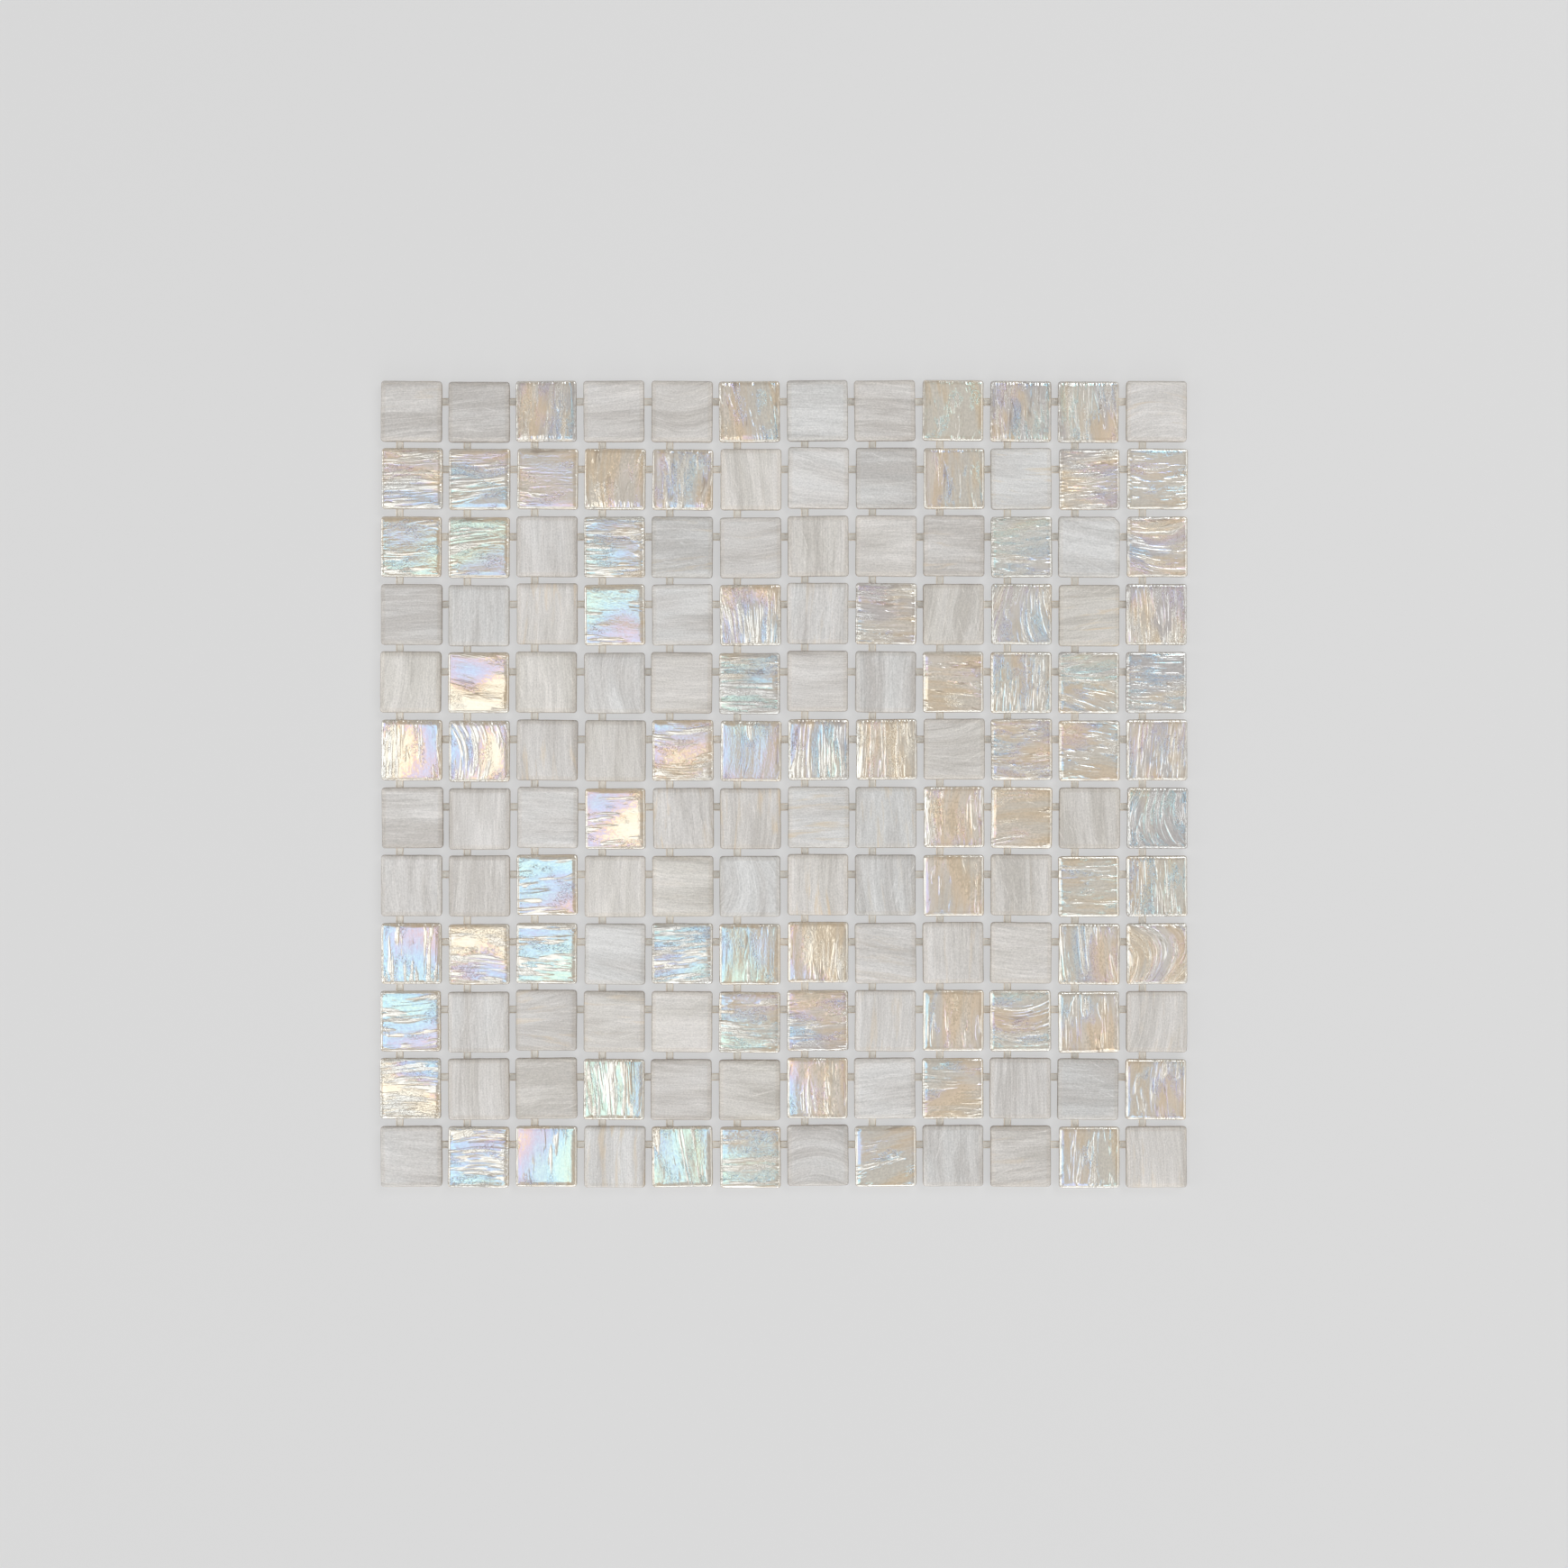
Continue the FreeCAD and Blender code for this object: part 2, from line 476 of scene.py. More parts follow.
def join_tiles(name, tiles, depths):
    """One mesh of several tiles. Its points keep what the glass needs to know: grain is the place along
    and across the grain and the tile's own number, tone is the tile's three tones, and edge is the
    distance in from the outline, in millimetres."""
    points, faces, facts, tones, edges = [], [], [], [], []
    start = 0
    for tile in tiles:
        spots, sides, surface, tone, offset = tile_mesh(tile, depths)
        points.append(spots)
        faces += [[start + i for i in side] for side in sides]
        edges.append(surface[:, 2].copy())
        surface[:, 2] = offset
        facts.append(surface)
        tones.append(np.tile(tone, (len(spots), 1)))
        start += len(spots)
    mesh = bpy.data.meshes.new(name)
    mesh.from_pydata(np.concatenate(points).tolist(), [], faces)
    for label, values in (("grain", facts), ("tone", tones)):
        attribute = mesh.attributes.new(label, "FLOAT_VECTOR", "POINT")
        attribute.data.foreach_set("vector", np.concatenate(values).ravel())
    mesh.attributes.new("edge", "FLOAT", "POINT").data.foreach_set("value", np.concatenate(edges))
    mesh.polygons.foreach_set("use_smooth", [True] * len(mesh.polygons))
    mesh.set_sharp_from_angle(angle=math.radians(SHARP_ANGLE))
    mesh.update()
    return mesh


def lay_row(kind, row, depths, material):
    """The tiles of one kind of glass in one row, in place of their solids."""
    node = f"{kind}_tiles_row_{row:02d}"
    mesh = join_tiles(f"{kind}_glass_row_{row:02d}", tiles_of(node, row), depths)
    mesh.materials.append(material)
    piece = bpy.data.objects.new(mesh.name, mesh)
    bpy.context.scene.collection.objects.link(piece)
    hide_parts(node)
    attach(piece, "root")


def strip_centres(axis):
    """The middles of the net's strips along one axis, read from the net's solid: a strip's two sides
    are the corners that lie its width apart, to a fiftieth of a millimetre."""
    width = settings("net").strip_width
    values = np.unique(np.round(solid_points("backing_net")[:, axis], 5))
    lows = [v for v in values if np.any(np.abs(values - v - width) < 0.02 * MM)]
    return [v + width / 2 for v in lows]


def strip_lines(centres, reach):
    """Mesh lines over strips at these centres, from one end of the net to the other, and each line's
    height on its strip; the height is zero between strips."""
    net = settings("net")
    half, bead = net.strip_width / 2, net.thread_width
    film, full = net.film_thickness, NET_HIGH.z
    # Across one strip: a thin edge, a round thread beside it, the film, and the same again
    profile = (
        (-half, 0.6 * film), (-half + 0.15 * bead, 0.8 * full), (-half + 0.5 * bead, full),
        (-half + 0.85 * bead, 0.8 * full), (-half + 1.1 * bead, film), (0.0, 0.9 * film),
        (half - 1.1 * bead, film), (half - 0.85 * bead, 0.8 * full), (half - 0.5 * bead, full),
        (half - 0.15 * bead, 0.8 * full), (half, 0.6 * film),
    )
    places, heights = [-reach], [0.0]
    for centre in sorted(centres):
        places += [centre + offset for offset, _ in profile]
        heights += [height for _, height in profile]
    return np.array(places + [reach]), np.array(heights + [0.0])


def on_strip(places, heights):
    """Which of the spaces between neighbouring mesh lines lie on a strip."""
    return (heights[:-1] > 0) & (heights[1:] > 0) & (np.diff(places) < settings("net").strip_width)


def net_faces(filled):
    """The faces of the net's grid where it is filled: the upper ones, the lower ones, which use the
    second half of the points, and the walls beside open squares."""
    rows, columns = filled.shape
    index = np.arange((rows + 1) * (columns + 1)).reshape(rows + 1, columns + 1)
    down = index.size
    # The way to the next square beyond each side, and this square's two corners on that side
    walls = (((-1, 0), (0, 1)), ((0, 1), (1, 2)), ((1, 0), (2, 3)), ((0, -1), (3, 0)))
    faces = []
    for r, c in zip(*np.nonzero(filled)):
        quad = [index[r, c], index[r, c + 1], index[r + 1, c + 1], index[r + 1, c]]
        faces.append(quad)
        faces.append([i + down for i in quad[::-1]])
        for (dr, dc), (a, b) in walls:
            nr, nc = r + dr, c + dc
            if not (0 <= nr < rows and 0 <= nc < columns and filled[nr, nc]):
                faces.append([quad[b], quad[a], quad[a] + down, quad[b] + down])
    return np.array(faces)


def net_mesh():
    """The net as one mesh over both sets of strips, with how much each point belongs to a thread."""
    xs, x_heights = strip_lines(strip_centres(0), NET_HIGH.x)
    ys, y_heights = strip_lines(strip_centres(1), NET_HIGH.y)
    # Where two strips cross, the higher surface counts
    height = np.maximum(x_heights[None, :], y_heights[:, None])
    x, y = np.meshgrid(xs, ys)
    over = np.stack([x.ravel(), y.ravel(), height.ravel()], axis=1)
    under = over.copy()
    under[:, 2] = 0.0
    faces = net_faces(on_strip(xs, x_heights)[None, :] | on_strip(ys, y_heights)[:, None])
    used, corners = np.unique(faces, return_inverse=True)
    mesh = bpy.data.meshes.new("backing_net_threads")
    mesh.from_pydata(np.vstack([over, under])[used].tolist(), [], corners.reshape(-1, 4).tolist())
    mesh.validate()
    film = settings("net").film_thickness
    thread = np.clip((height.ravel() - film) / (NET_HIGH.z - film), 0, 1)
    values = np.concatenate([thread, thread])[used]
    mesh.attributes.new("thread", "FLOAT", "POINT").data.foreach_set("value", values)
    return mesh


# Materials

# What multiplies a tile's colour along its edge, by millimetres in from the outline, or down the side
# where they are negative: painted light that makes the sides paler, standing in for light let through
# the glass, a thin painted dark line of shade round the rim, and a painted, slightly darker, warmer
# shade on the slope
EDGE_LOW, EDGE_HIGH = -3.0, 2.5
MILKY_EDGE_LIGHT_AND_SHADE = (
    (-1.8, (1.30, 1.25, 1.19)), (-0.9, (0.95, 0.89, 0.81)), (-0.25, (0.70, 0.64, 0.57)),
    (0.12, (0.74, 0.69, 0.63)), (0.4, (0.95, 0.93, 0.905)), (1.5, (0.965, 0.95, 0.93)),
    (1.9, (1.0, 1.0, 1.0)),
)
IRIDISED_EDGE_LIGHT_AND_SHADE = (
    (-1.8, (1.25, 1.19, 1.12)), (-0.9, (0.93, 0.86, 0.77)), (-0.25, (0.66, 0.60, 0.53)),
    (0.12, (0.68, 0.63, 0.57)), (0.4, (0.88, 0.86, 0.83)), (1.6, (0.90, 0.88, 0.86)),
    (1.9, (1.0, 1.0, 1.0)),
)


class Nodes:
    """Short words for making a material's nodes."""

    def __init__(self, name):
        self.material = bpy.data.materials.new(name)
        self.material.use_nodes = True
        self.tree = self.material.node_tree
        self.shader = self.tree.nodes["Principled BSDF"]

    def add(self, kind, inputs=(), **options):
        node = self.tree.nodes.new(kind)
        for option, value in options.items():
            setattr(node, option, value)
        for socket, value in dict(inputs).items():
            self.set(node.inputs[socket], value)
        return node

    def set(self, socket, value):
        if isinstance(value, bpy.types.NodeSocket):
            self.tree.links.new(value, socket)
        elif hasattr(value, "__len__") and len(value) == 3 and socket.type == "RGBA":
            socket.default_value = (*value, 1.0)
        else:
            socket.default_value = value

    def math(self, operation, a, b=0.0, c=0.0, clamp=False):
        node = self.add("ShaderNodeMath", {0: a, 1: b, 2: c}, operation=operation, use_clamp=clamp)
        return node.outputs[0]

    def attribute(self, name, output="Vector"):
        return self.add("ShaderNodeAttribute", attribute_name=name).outputs[output]

    def split(self, vector):
        return self.add("ShaderNodeSeparateXYZ", {0: vector}).outputs

    def stretch(self, vector, scale):
        """The vector with each coordinate scaled."""
        return self.add("ShaderNodeVectorMath", {0: vector, 1: scale}, operation="MULTIPLY").outputs[0]

    def noise(self, vector, scale, detail=2.0, roughness=0.5, distortion=0.0):
        """Noise with so many features to each unit of the vector, by axis. For a tile's grain the units
        are millimetres along and across it, and the third number only picks another noise."""
        inputs = {"Vector": self.stretch(vector, scale), "Scale": 1.0, "Detail": detail,
                  "Roughness": roughness, "Distortion": distortion}
        return self.add("ShaderNodeTexNoise", inputs, noise_dimensions="3D").outputs[0]

    def fit(self, value, low, high, to_low=0.0, to_high=1.0, curve="SMOOTHSTEP"):
        """The value's range from low to high, mapped to another one and clamped to it."""
        inputs = {"Value": value, "From Min": low, "From Max": high, "To Min": to_low, "To Max": to_high}
        return self.add("ShaderNodeMapRange", inputs, interpolation_type=curve).outputs[0]

    def mix(self, share, a, b, blend="MIX"):
        """The colour a, with this share of b mixed in."""
        node = self.add("ShaderNodeMix", data_type="RGBA", blend_type=blend)
        for socket, value in (("Factor_Float", share), ("A_Color", a), ("B_Color", b)):
            self.set(next(s for s in node.inputs if s.identifier == socket), value)
        return next(s for s in node.outputs if s.identifier == "Result_Color")

    def ramp(self, value, stops):
        """The colour at a value from 0 to 1 between stops of place and colour."""
        node = self.add("ShaderNodeValToRGB", {0: value})
        line = node.color_ramp
        ends = (line.elements[0], line.elements[1])
        for element, (place, colour) in zip(ends, (stops[0], stops[-1])):
            element.position, element.color = place, (*colour, 1.0)
        for place, colour in stops[1:-1]:
            line.elements.new(place).color = (*colour, 1.0)
        return node.outputs[0]

    def paint_edge_light_and_shade(self, colour, stops):
        """The colour with painted light and shade along a tile's edge, by stops like those above."""
        span = EDGE_HIGH - EDGE_LOW
        edge = self.fit(self.attribute("edge", "Fac"), EDGE_LOW, EDGE_HIGH, curve="LINEAR")
        shade = self.ramp(edge, [((place - EDGE_LOW) / span, tint) for place, tint in stops])
        return self.multiply(colour, shade)

    def multiply(self, colour, tint):
        """The colour multiplied by a tint."""
        return self.mix(1.0, colour, tint, "MULTIPLY")

    def away(self, value, middle):
        """How far the value is from the middle, to either side."""
        return self.math("ABSOLUTE", self.math("SUBTRACT", value, middle))

    def grey(self, value):
        """The grey with this value."""
        return self.add("ShaderNodeCombineXYZ", {0: value, 1: value, 2: value}).outputs[0]

    def bump(self, height):
        """Relief from a height in millimetres."""
        inputs = {"Height": height, "Distance": MM, "Strength": 1.0}
        return self.add("ShaderNodeBump", inputs).outputs[0]

    def turned(self, vector, angle):
        """The vector turned about its third axis."""
        inputs = {"Vector": vector, "Angle": angle}
        return self.add("ShaderNodeVectorRotate", inputs, rotation_type="Z_AXIS").outputs[0]

    def total(self, *parts):
        """Sum of products, each of a value and its weight."""
        value = 0.0
        for part, weight in parts:
            value = self.math("MULTIPLY_ADD", part, weight, value)
        return value


def milky_glass():
    """Opaque white glass with fine parallel fibres and a satin face."""
    glass = settings("milky")
    nodes = Nodes("milky_glass")
    place = nodes.attribute("grain")
    tone = nodes.split(nodes.attribute("tone"))

    # Grey and white streaks along the grain, and some that stray from it
    broad = nodes.noise(place, (0.018, 0.13, 1.0), 2.0, 0.5, 0.2)
    band = nodes.noise(place, (0.03, 0.5, 1.0), 3.0, 0.6)
    fibre = nodes.noise(place, (0.06, 1.5, 1.0), 3.0, 0.7, 0.2)
    hair = nodes.noise(place, (0.18, 4.2, 1.0), 2.0, 0.6)
    grit = nodes.noise(place, (1.5, 2.2, 1.0), 1.0)
    slant = nodes.fit(tone[1], 0.0, 1.0, -0.45, 0.45)
    stray = nodes.noise(nodes.turned(place, slant), (0.08, 1.1, 1.5), 3.0, 0.65, 0.2)
    streaks = nodes.total(
        (broad, 0.44), (band, 0.24), (fibre, 0.14), (stray, 0.10), (hair, 0.08), (tone[0], 0.10))
    dark = nodes.mix(nodes.fit(streaks, 0.45, 0.56), glass.shade, glass.body)
    colour = nodes.mix(nodes.fit(streaks, 0.57, 0.65), dark, glass.light)
    threads = nodes.fit(nodes.noise(place, (0.05, 1.9, 2.0), 3.0, 0.65), 0.57, 0.66)
    amount = nodes.math("MULTIPLY", threads, nodes.fit(tone[0], 0.0, 1.0, 0.15, 0.65))
    colour = nodes.mix(amount, colour, glass.light)
    colour = nodes.mix(nodes.fit(stray, 0.62, 0.68, 0.0, 0.8), colour, glass.light)

    # Fine grain, amber wisps in some tiles, and a faint tint that drifts
    shine = nodes.total((fibre, 0.25), (hair, 0.3), (grit, 0.45))
    shine = nodes.fit(shine, 0.35, 0.65, 0.84, 1.16, "LINEAR")
    colour = nodes.multiply(colour, nodes.grey(shine))
    wisps = nodes.noise(place, (0.045, 0.35, 1.0), 3.0, 0.6, 0.6)
    amount = nodes.math("MULTIPLY", nodes.fit(tone[2], 0.45, 1.0), nodes.fit(wisps, 0.54, 0.72))
    colour = nodes.mix(nodes.math("MULTIPLY", amount, 0.5), colour, glass.wisp)
    drift = nodes.total((tone[1], 0.6), (nodes.noise(place, (0.05, 0.16, 1.0), 1.0), 0.4))
    tint = nodes.ramp(drift, (
        (0.2, (1.01, 1.0, 0.965)), (0.42, (1.005, 0.995, 0.985)),
        (0.6, (0.995, 0.995, 1.0)), (0.8, (0.975, 1.0, 1.02))))
    colour = nodes.multiply(colour, tint)

    height = nodes.total((band, 0.08), (fibre, 0.05), (hair, 0.02), (grit, 0.015))
    # The milky base colour carries painted light and shade along each tile's edge
    nodes.set(nodes.shader.inputs["Base Color"], nodes.paint_edge_light_and_shade(colour, MILKY_EDGE_LIGHT_AND_SHADE))
    nodes.set(nodes.shader.inputs["Normal"], nodes.bump(height))
    nodes.shader.inputs["Roughness"].default_value = 0.22
    nodes.shader.inputs["Specular IOR Level"].default_value = 0.35
    return nodes.material


def iridised_glass():
    """Streaky warm glass with a glossy face, ridged and hammered in places, under a thin pearly film."""
    glass = settings("iridised")
    nodes = Nodes("iridised_glass")
    place = nodes.attribute("grain")
    tone = nodes.split(nodes.attribute("tone"))

    broad = nodes.noise(place, (0.035, 0.12, 1.0), 2.0, 0.5, 0.5)
    patch = nodes.noise(place, (0.04, 0.10, 2.0), 2.0, 0.5, 0.6)
    fine = nodes.noise(place, (0.07, 0.9, 1.0), 4.0, 0.65)
    hair = nodes.noise(place, (0.15, 3.0, 1.0), 2.0, 0.6)
    speck = nodes.noise(place, (1.0, 1.5, 1.0), 2.0, 0.6)

    # Streaks, warm ones and cool ones
    warm = nodes.fit(nodes.total((fine, 0.35), (broad, 0.65)), 0.40, 0.56)
    warm = nodes.mix(warm, glass.amber, glass.beige)
    cool = nodes.mix(nodes.fit(tone[1], 0.35, 0.65), glass.lilac, glass.sage)
    share = nodes.total((tone[0], 0.8), (patch, 1.2), (fine, 0.25))
    colour = nodes.mix(nodes.fit(share, 1.24, 1.50), warm, cool)
    # Fine grain in the colour, partly painted sparkle: light and dark specks where the face would glint
    shine = nodes.total((hair, 0.18), (fine, 0.12), (speck, 0.36))
    shine = nodes.fit(shine, 0.18, 0.48, 0.78, 1.22, "LINEAR")
    colour = nodes.multiply(colour, nodes.grey(shine))

    # The film in clouds, and a faint painted tint of the film's reflected colour that goes with it, for
    # viewers that show no film
    cloud = nodes.noise(place, (0.035, 0.06, 1.0), 1.0, 0.4)
    band = nodes.noise(place, (0.04, 0.45, 1.0), 2.0, 0.5)
    level = nodes.total((cloud, 1.9), (tone[2], 0.9), (band, 0.2), (speck, 0.8))
    level = nodes.fit(level, 1.15, 2.60)
    film = nodes.total(
        (1.0, glass.cream_film),
        (nodes.fit(level, 0.10, 0.24), glass.pink_film - glass.cream_film),
        (nodes.fit(level, 0.24, 1.0, curve="LINEAR"), glass.cyan_film - glass.pink_film))
    painted_film_tint = nodes.ramp(level, (
        (0.0, (1.01, 1.0, 0.985)), (0.3, (1.01, 0.995, 0.99)), (0.5, (1.0, 0.995, 1.0)),
        (0.75, (0.99, 1.0, 1.01)), (1.0, (0.995, 1.0, 1.0))))
    colour = nodes.multiply(colour, painted_film_tint)

    # Ridges in some places, where the film is thin, as it is on the rim
    low_ridges = nodes.noise(place, (0.07, 0.75, 1.0), 2.0, 0.5)
    ridge_zone = nodes.total((nodes.noise(place, (0.05, 0.26, 1.0), 2.0), 1.0), (tone[0], 0.22))
    ridge_zone = nodes.fit(ridge_zone, 0.585, 0.645)
    ridges = nodes.noise(place, (0.08, 0.95, 1.0), 1.0, 0.5)
    raised = nodes.math("MULTIPLY", nodes.fit(ridges, 0.34, 0.66, curve="LINEAR"), ridge_zone)
    inside = nodes.math("GREATER_THAN", nodes.attribute("edge", "Fac"), 1.0)
    coloured = nodes.math("MULTIPLY", inside, nodes.math("LESS_THAN", raised, 0.4))
    film_above_white = nodes.math("SUBTRACT", film, glass.white_film)
    film = nodes.total((film_above_white, coloured), (1.0, glass.white_film))

    # Hammered dots and creases in other places
    dot_zone = nodes.total((nodes.noise(place, (0.09, 0.20, 3.0), 2.0), 1.0), (tone[0], 0.14))
    dot_zone = nodes.fit(dot_zone, 0.57, 0.65)
    chips = nodes.fit(nodes.noise(place, (1.9, 3.6, 1.0), 1.0, 0.5), 0.56, 0.70)
    crease = nodes.noise(place, (0.8, 1.8, 2.0), 2.0, 0.6)
    crease = nodes.fit(nodes.away(crease, 0.5), 0.0, 0.035, 1.0, 0.0)
    crease_zone = nodes.fit(nodes.noise(place, (1.0, 1.4, 4.0), 1.0), 0.48, 0.56)
    crease = nodes.math("MULTIPLY", crease, crease_zone)
    pits = nodes.math("MULTIPLY", nodes.math("MAXIMUM", chips, crease), dot_zone)

    # A few long grooves, darkened with painted shade like the dots
    course = nodes.noise(place, (0.022, 0.26, 2.0), 2.0, 0.5)
    groove_zone = nodes.fit(nodes.noise(place, (0.07, 0.12, 5.0), 1.0), 0.54, 0.60)
    groove = nodes.fit(nodes.away(course, 0.5), 0.0, 0.026, 1.0, 0.0)
    groove = nodes.math("MULTIPLY", groove, groove_zone)
    # Painted shade darkens the grooves and dots in the colour
    painted_shade_share = nodes.total((groove, 0.6), (pits, 0.65))
    colour = nodes.mix(painted_shade_share, colour, glass.painted_groove_shade)
    height = nodes.total(
        (low_ridges, 0.014), (raised, 0.13), (pits, -0.09), (groove, -0.08),
        (fine, 0.009), (hair, 0.004), (speck, 0.042))
    relief_normal = nodes.bump(height)

    # The iridised base colour carries painted light and shade along each tile's edge
    nodes.set(nodes.shader.inputs["Base Color"], nodes.paint_edge_light_and_shade(colour, IRIDISED_EDGE_LIGHT_AND_SHADE))
    nodes.set(nodes.shader.inputs["Thin Film Thickness"], film)
    nodes.set(nodes.shader.inputs["Normal"], relief_normal)
    nodes.set(nodes.shader.inputs["Coat Normal"], relief_normal)
    nodes.shader.inputs["Thin Film IOR"].default_value = 2.0
    nodes.shader.inputs["Coat Weight"].default_value = 0.8
    nodes.shader.inputs["Coat Roughness"].default_value = 0.03
    nodes.shader.inputs["Roughness"].default_value = 0.045
    nodes.shader.inputs["IOR"].default_value = 1.52
    return nodes.material


def net_plastic():
    """Cream film with two darker threads in each strip."""
    net = settings("net")
    nodes = Nodes("net_plastic")
    thread = nodes.attribute("thread", "Fac")
    place = nodes.add("ShaderNodeTexCoord").outputs["Object"]
    mottle = nodes.noise(place, (900.0, 900.0, 900.0), 3.0)
    colour = nodes.mix(nodes.fit(thread, 0.35, 0.9), net.film_colour, net.thread_colour)
    shade = nodes.mix(mottle, (0.92, 0.91, 0.89), (1.06, 1.06, 1.06))
    nodes.set(nodes.shader.inputs["Base Color"], nodes.multiply(colour, shade))
    nodes.set(nodes.shader.inputs["Normal"], nodes.bump(nodes.math("MULTIPLY", mottle, 0.04)))
    nodes.shader.inputs["Roughness"].default_value = 0.3
    return nodes.material


def matt_paint(name, glow, bounce):
    """Plain pale matt paint. A share of its paleness, the glow, needs no light and reaches only the
    camera and mirror images, so that the narrow joints stay pale and still hold the sheet's shadow.
    The bounce is the share of its paleness that is left when it throws light on other things."""
    stage = settings("stage")
    nodes = Nodes(name)
    place = nodes.add("ShaderNodeTexCoord").outputs["Object"]
    mottle = nodes.noise(place, (220.0, 220.0, 220.0), 3.0)
    shade = nodes.mix(mottle, (0.99, 0.99, 0.99), (1.01, 1.01, 1.01))
    rays = nodes.add("ShaderNodeLightPath").outputs
    seen = nodes.math("ADD", rays["Is Camera Ray"], rays["Is Glossy Ray"])
    seen = nodes.math("ADD", seen, rays["Is Transmission Ray"], clamp=True)
    unseen_paint = [c * bounce for c in stage.floor_colour]
    seen_paint = [c * (1 - glow) for c in stage.floor_colour]
    paint = nodes.mix(seen, unseen_paint, seen_paint)
    nodes.set(nodes.shader.inputs["Base Color"], nodes.multiply(paint, shade))
    nodes.set(nodes.shader.inputs["Emission Color"], stage.floor_colour)
    nodes.set(nodes.shader.inputs["Emission Strength"], nodes.math("MULTIPLY", seen, glow))
    nodes.shader.inputs["Roughness"].default_value = 0.9
    nodes.shader.inputs["Specular IOR Level"].default_value = 0.1
    return nodes.material


# Stage

# The world's own faint light, beside the lamps
WORLD_STRENGTH = 0.05


def add_ground(stage):
    """The floor, and a backdrop of four walls round it."""
    reach, height = stage.floor_reach, stage.backdrop_height
    low = [(x * reach, y * reach, 0.0) for x, y in ((-1, -1), (1, -1), (1, 1), (-1, 1))]
    high = [(x, y, height) for x, y, _ in low]
    walls = [(i + 4, (i + 1) % 4 + 4, (i + 1) % 4, i) for i in range(4)]
    for name, corners, faces, glow, bounce in (
        ("floor", low, [(0, 1, 2, 3)], stage.floor_glow, 1.0),
        ("backdrop", low + high, walls, 1.0, 0.1),
    ):
        mesh = bpy.data.meshes.new(name)
        mesh.from_pydata(corners, [], faces)
        mesh.materials.append(matt_paint(name + "_paint", glow, bounce))
        surface = bpy.data.objects.new(name, mesh)
        bpy.context.scene.collection.objects.link(surface)


def add_panel(name, low, high, radiance):
    """A soft lamp from one corner to the other, with this radiance. It faces down if it lies flat, and
    otherwise it stands upright and faces the sheet."""
    size, centre = Vector(high) - Vector(low), (Vector(high) + Vector(low)) / 2
    flat = min(range(3), key=lambda i: size[i])
    facing = Vector([-math.copysign(1, centre[i]) if i == flat else 0 for i in range(3)])
    data = bpy.data.lights.new(name, "AREA")
    data.shape = "RECTANGLE"
    data.size, data.size_y = (size.x, size.y) if flat == 2 else (size[1 - flat], size.z)
    data.energy = radiance * math.pi * data.size * data.size_y
    lamp = bpy.data.objects.new(name, data)
    lamp.location = centre
    lamp.rotation_euler = facing.to_track_quat("-Z", "Z" if flat != 2 else "Y").to_euler()
    lamp.visible_camera = False
    bpy.context.scene.collection.objects.link(lamp)


def add_lamps(stage):
    """The soft lamps, as two opposite corners and a radiance. Flat glass mirrors what hangs above at
    (camera height + panel height) / camera height times its own distance from the camera's axis, so
    only the key panel's mirror image falls on it. Ridges and edges mirror the other lamps too."""
    up = stage.panel_height
    for name, low, high, radiance in (
        ("key_panel", (-0.50, -0.60, up), (-0.05, 0.225, up), 2.4),
        ("bright_panel", (-1.00, -0.70, up), (-0.50, 0.225, up), 3.0),
        ("near_panel", (0.20, -1.30, up), (1.80, -0.75, up), 3.0),
        ("left_wall", (-3.00, -2.00, 0.1), (-3.00, 1.20, 2.2), 3.1),
        ("near_wall", (-1.20, -3.00, 0.1), (2.00, -3.00, 2.2), 3.3),
        ("far_panel", (0.30, 0.75, up), (1.80, 1.70, up), 5.9),
        ("side_panel", (1.00, -0.75, up), (2.20, 0.50, up), 1.9),
    ):
        add_panel(name, low, high, radiance)


def light_world():
    """A world that gives a faint white light of its own."""
    world = bpy.data.worlds.new("soft_room")
    world.use_nodes = True
    background = world.node_tree.nodes["Background"]
    background.inputs["Color"].default_value = (1.0, 1.0, 1.0, 1.0)
    background.inputs["Strength"].default_value = WORLD_STRENGTH
    bpy.context.scene.world = world


def hang_camera(stage):
    """The camera, above the middle of the sheet and looking straight down."""
    data = bpy.data.cameras.new("camera")
    data.lens = data.sensor_width * (stage.camera_height - FACE_Z) / stage.view_width
    camera = bpy.data.objects.new("camera", data)
    camera.location = (0.0, 0.0, stage.camera_height)
    bpy.context.scene.collection.objects.link(camera)
    bpy.context.scene.camera = camera


# Operators

class MOSAIC_OT_lay_milky_tiles(bpy.types.Operator):
    """Lay the milky glass tiles, one mesh for each row"""
    bl_idname = "mosaic.lay_milky_tiles"
    bl_label = "Lay Milky Tiles"

    def execute(self, context):
        glass = settings("milky")
        depths = (glass.swell, glass.ridge, glass.groove)
        material = milky_glass()
        for row in range(1, ROWS + 1):
            lay_row("milky", row, depths, material)
        return {"FINISHED"}


class MOSAIC_OT_lay_iridised_tiles(bpy.types.Operator):
    """Lay the iridised glass tiles, one mesh for each row"""
    bl_idname = "mosaic.lay_iridised_tiles"
    bl_label = "Lay Iridised Tiles"

    def execute(self, context):
        glass = settings("iridised")
        depths = (glass.swell, glass.ridge, glass.groove)
        material = iridised_glass()
        for row in range(1, ROWS + 1):
            lay_row("iridised", row, depths, material)
        return {"FINISHED"}


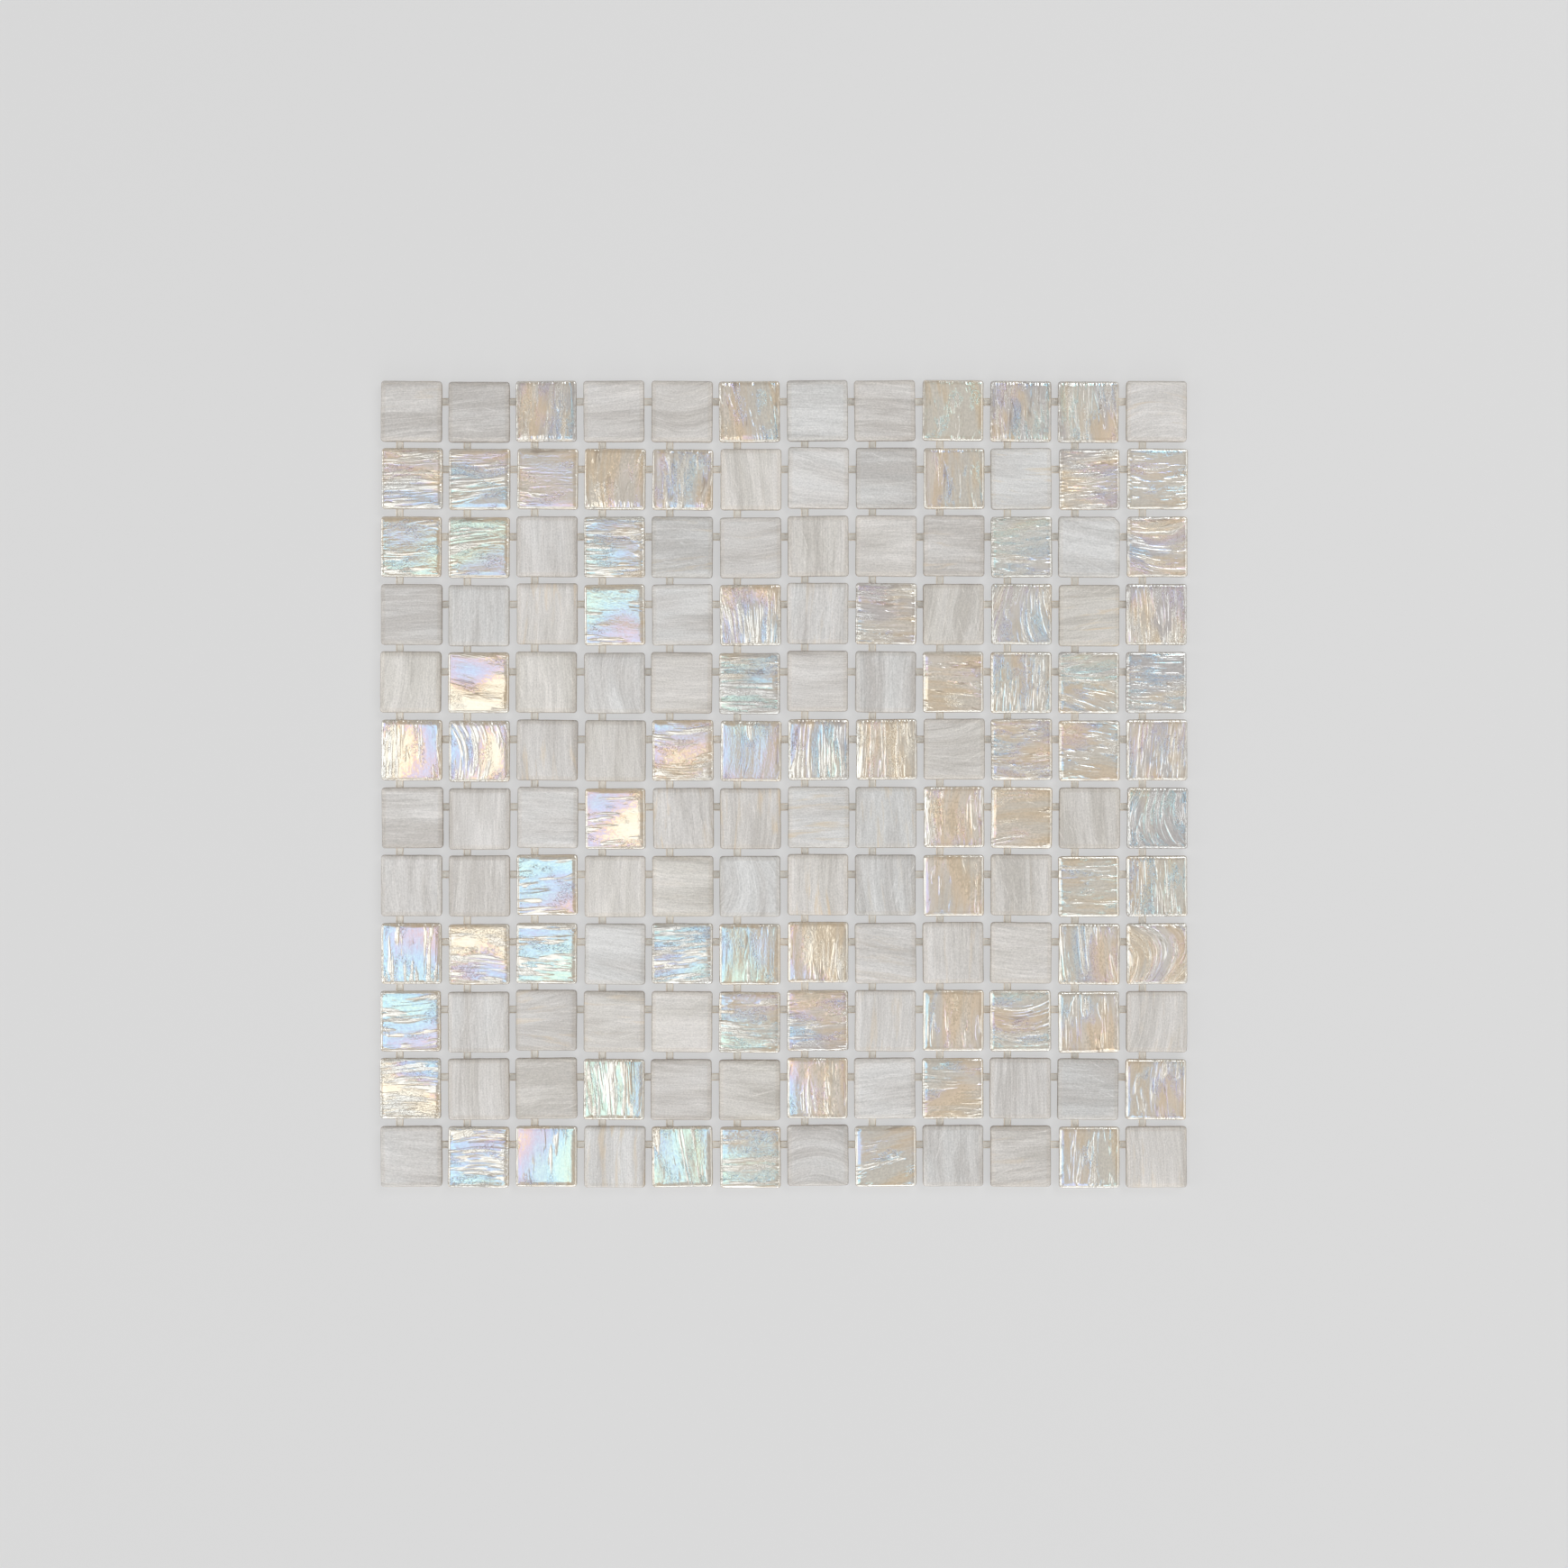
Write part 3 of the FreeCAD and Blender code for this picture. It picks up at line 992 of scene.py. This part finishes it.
class MOSAIC_OT_spread_net(bpy.types.Operator):
    """Make the backing net, with two threads in each strip"""
    bl_idname = "mosaic.spread_net"
    bl_label = "Spread Backing Net"

    def execute(self, context):
        mesh = net_mesh()
        mesh.materials.append(net_plastic())
        piece = bpy.data.objects.new(mesh.name, mesh)
        bpy.context.scene.collection.objects.link(piece)
        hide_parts("backing_net")
        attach(piece, "root")
        return {"FINISHED"}


class MOSAIC_OT_set_stage(bpy.types.Operator):
    """Set the floor, the backdrop, the lamps and the camera"""
    bl_idname = "mosaic.set_stage"
    bl_label = "Set Stage"

    def execute(self, context):
        stage = settings("stage")
        add_ground(stage)
        add_lamps(stage)
        light_world()
        hang_camera(stage)
        context.scene.view_settings.view_transform = "Standard"
        return {"FINISHED"}


class MOSAIC_PT_sheet(bpy.types.Panel):
    """Sidebar panel that lists the steps and their sizes"""
    bl_idname = "MOSAIC_PT_sheet"
    bl_label = "Glass Mosaic Sheet"
    bl_space_type = "VIEW_3D"
    bl_region_type = "UI"
    bl_category = "Mosaic"

    def draw(self, context):
        for name, group, step in GROUPS:
            box = self.layout.box()
            for setting in group.__annotations__:
                box.prop(settings(name), setting)
            if step:
                box.operator(step.bl_idname)


# Each group of settings, and the step that the panel shows under it
GROUPS = (
    ("tiles", TileSettings, None),
    ("milky", MilkySettings, MOSAIC_OT_lay_milky_tiles),
    ("iridised", IridisedSettings, MOSAIC_OT_lay_iridised_tiles),
    ("net", NetSettings, MOSAIC_OT_spread_net),
    ("stage", StageSettings, MOSAIC_OT_set_stage),
)
CLASSES = (
    *(group for _, group, _ in GROUPS),
    *(step for _, _, step in GROUPS if step),
    MOSAIC_PT_sheet,
)


def register():
    for cls in CLASSES:
        bpy.utils.register_class(cls)
    for name, group, _ in GROUPS:
        setattr(bpy.types.Scene, "mosaic_" + name, PointerProperty(type=group))


def unregister():
    for name, _, _ in GROUPS:
        delattr(bpy.types.Scene, "mosaic_" + name)
    for cls in reversed(CLASSES):
        bpy.utils.unregister_class(cls)


def main():
    register()
    bpy.ops.mosaic.lay_milky_tiles()
    bpy.ops.mosaic.lay_iridised_tiles()
    bpy.ops.mosaic.spread_net()
    bpy.ops.mosaic.set_stage()


if __name__ == "__main__":
    main()
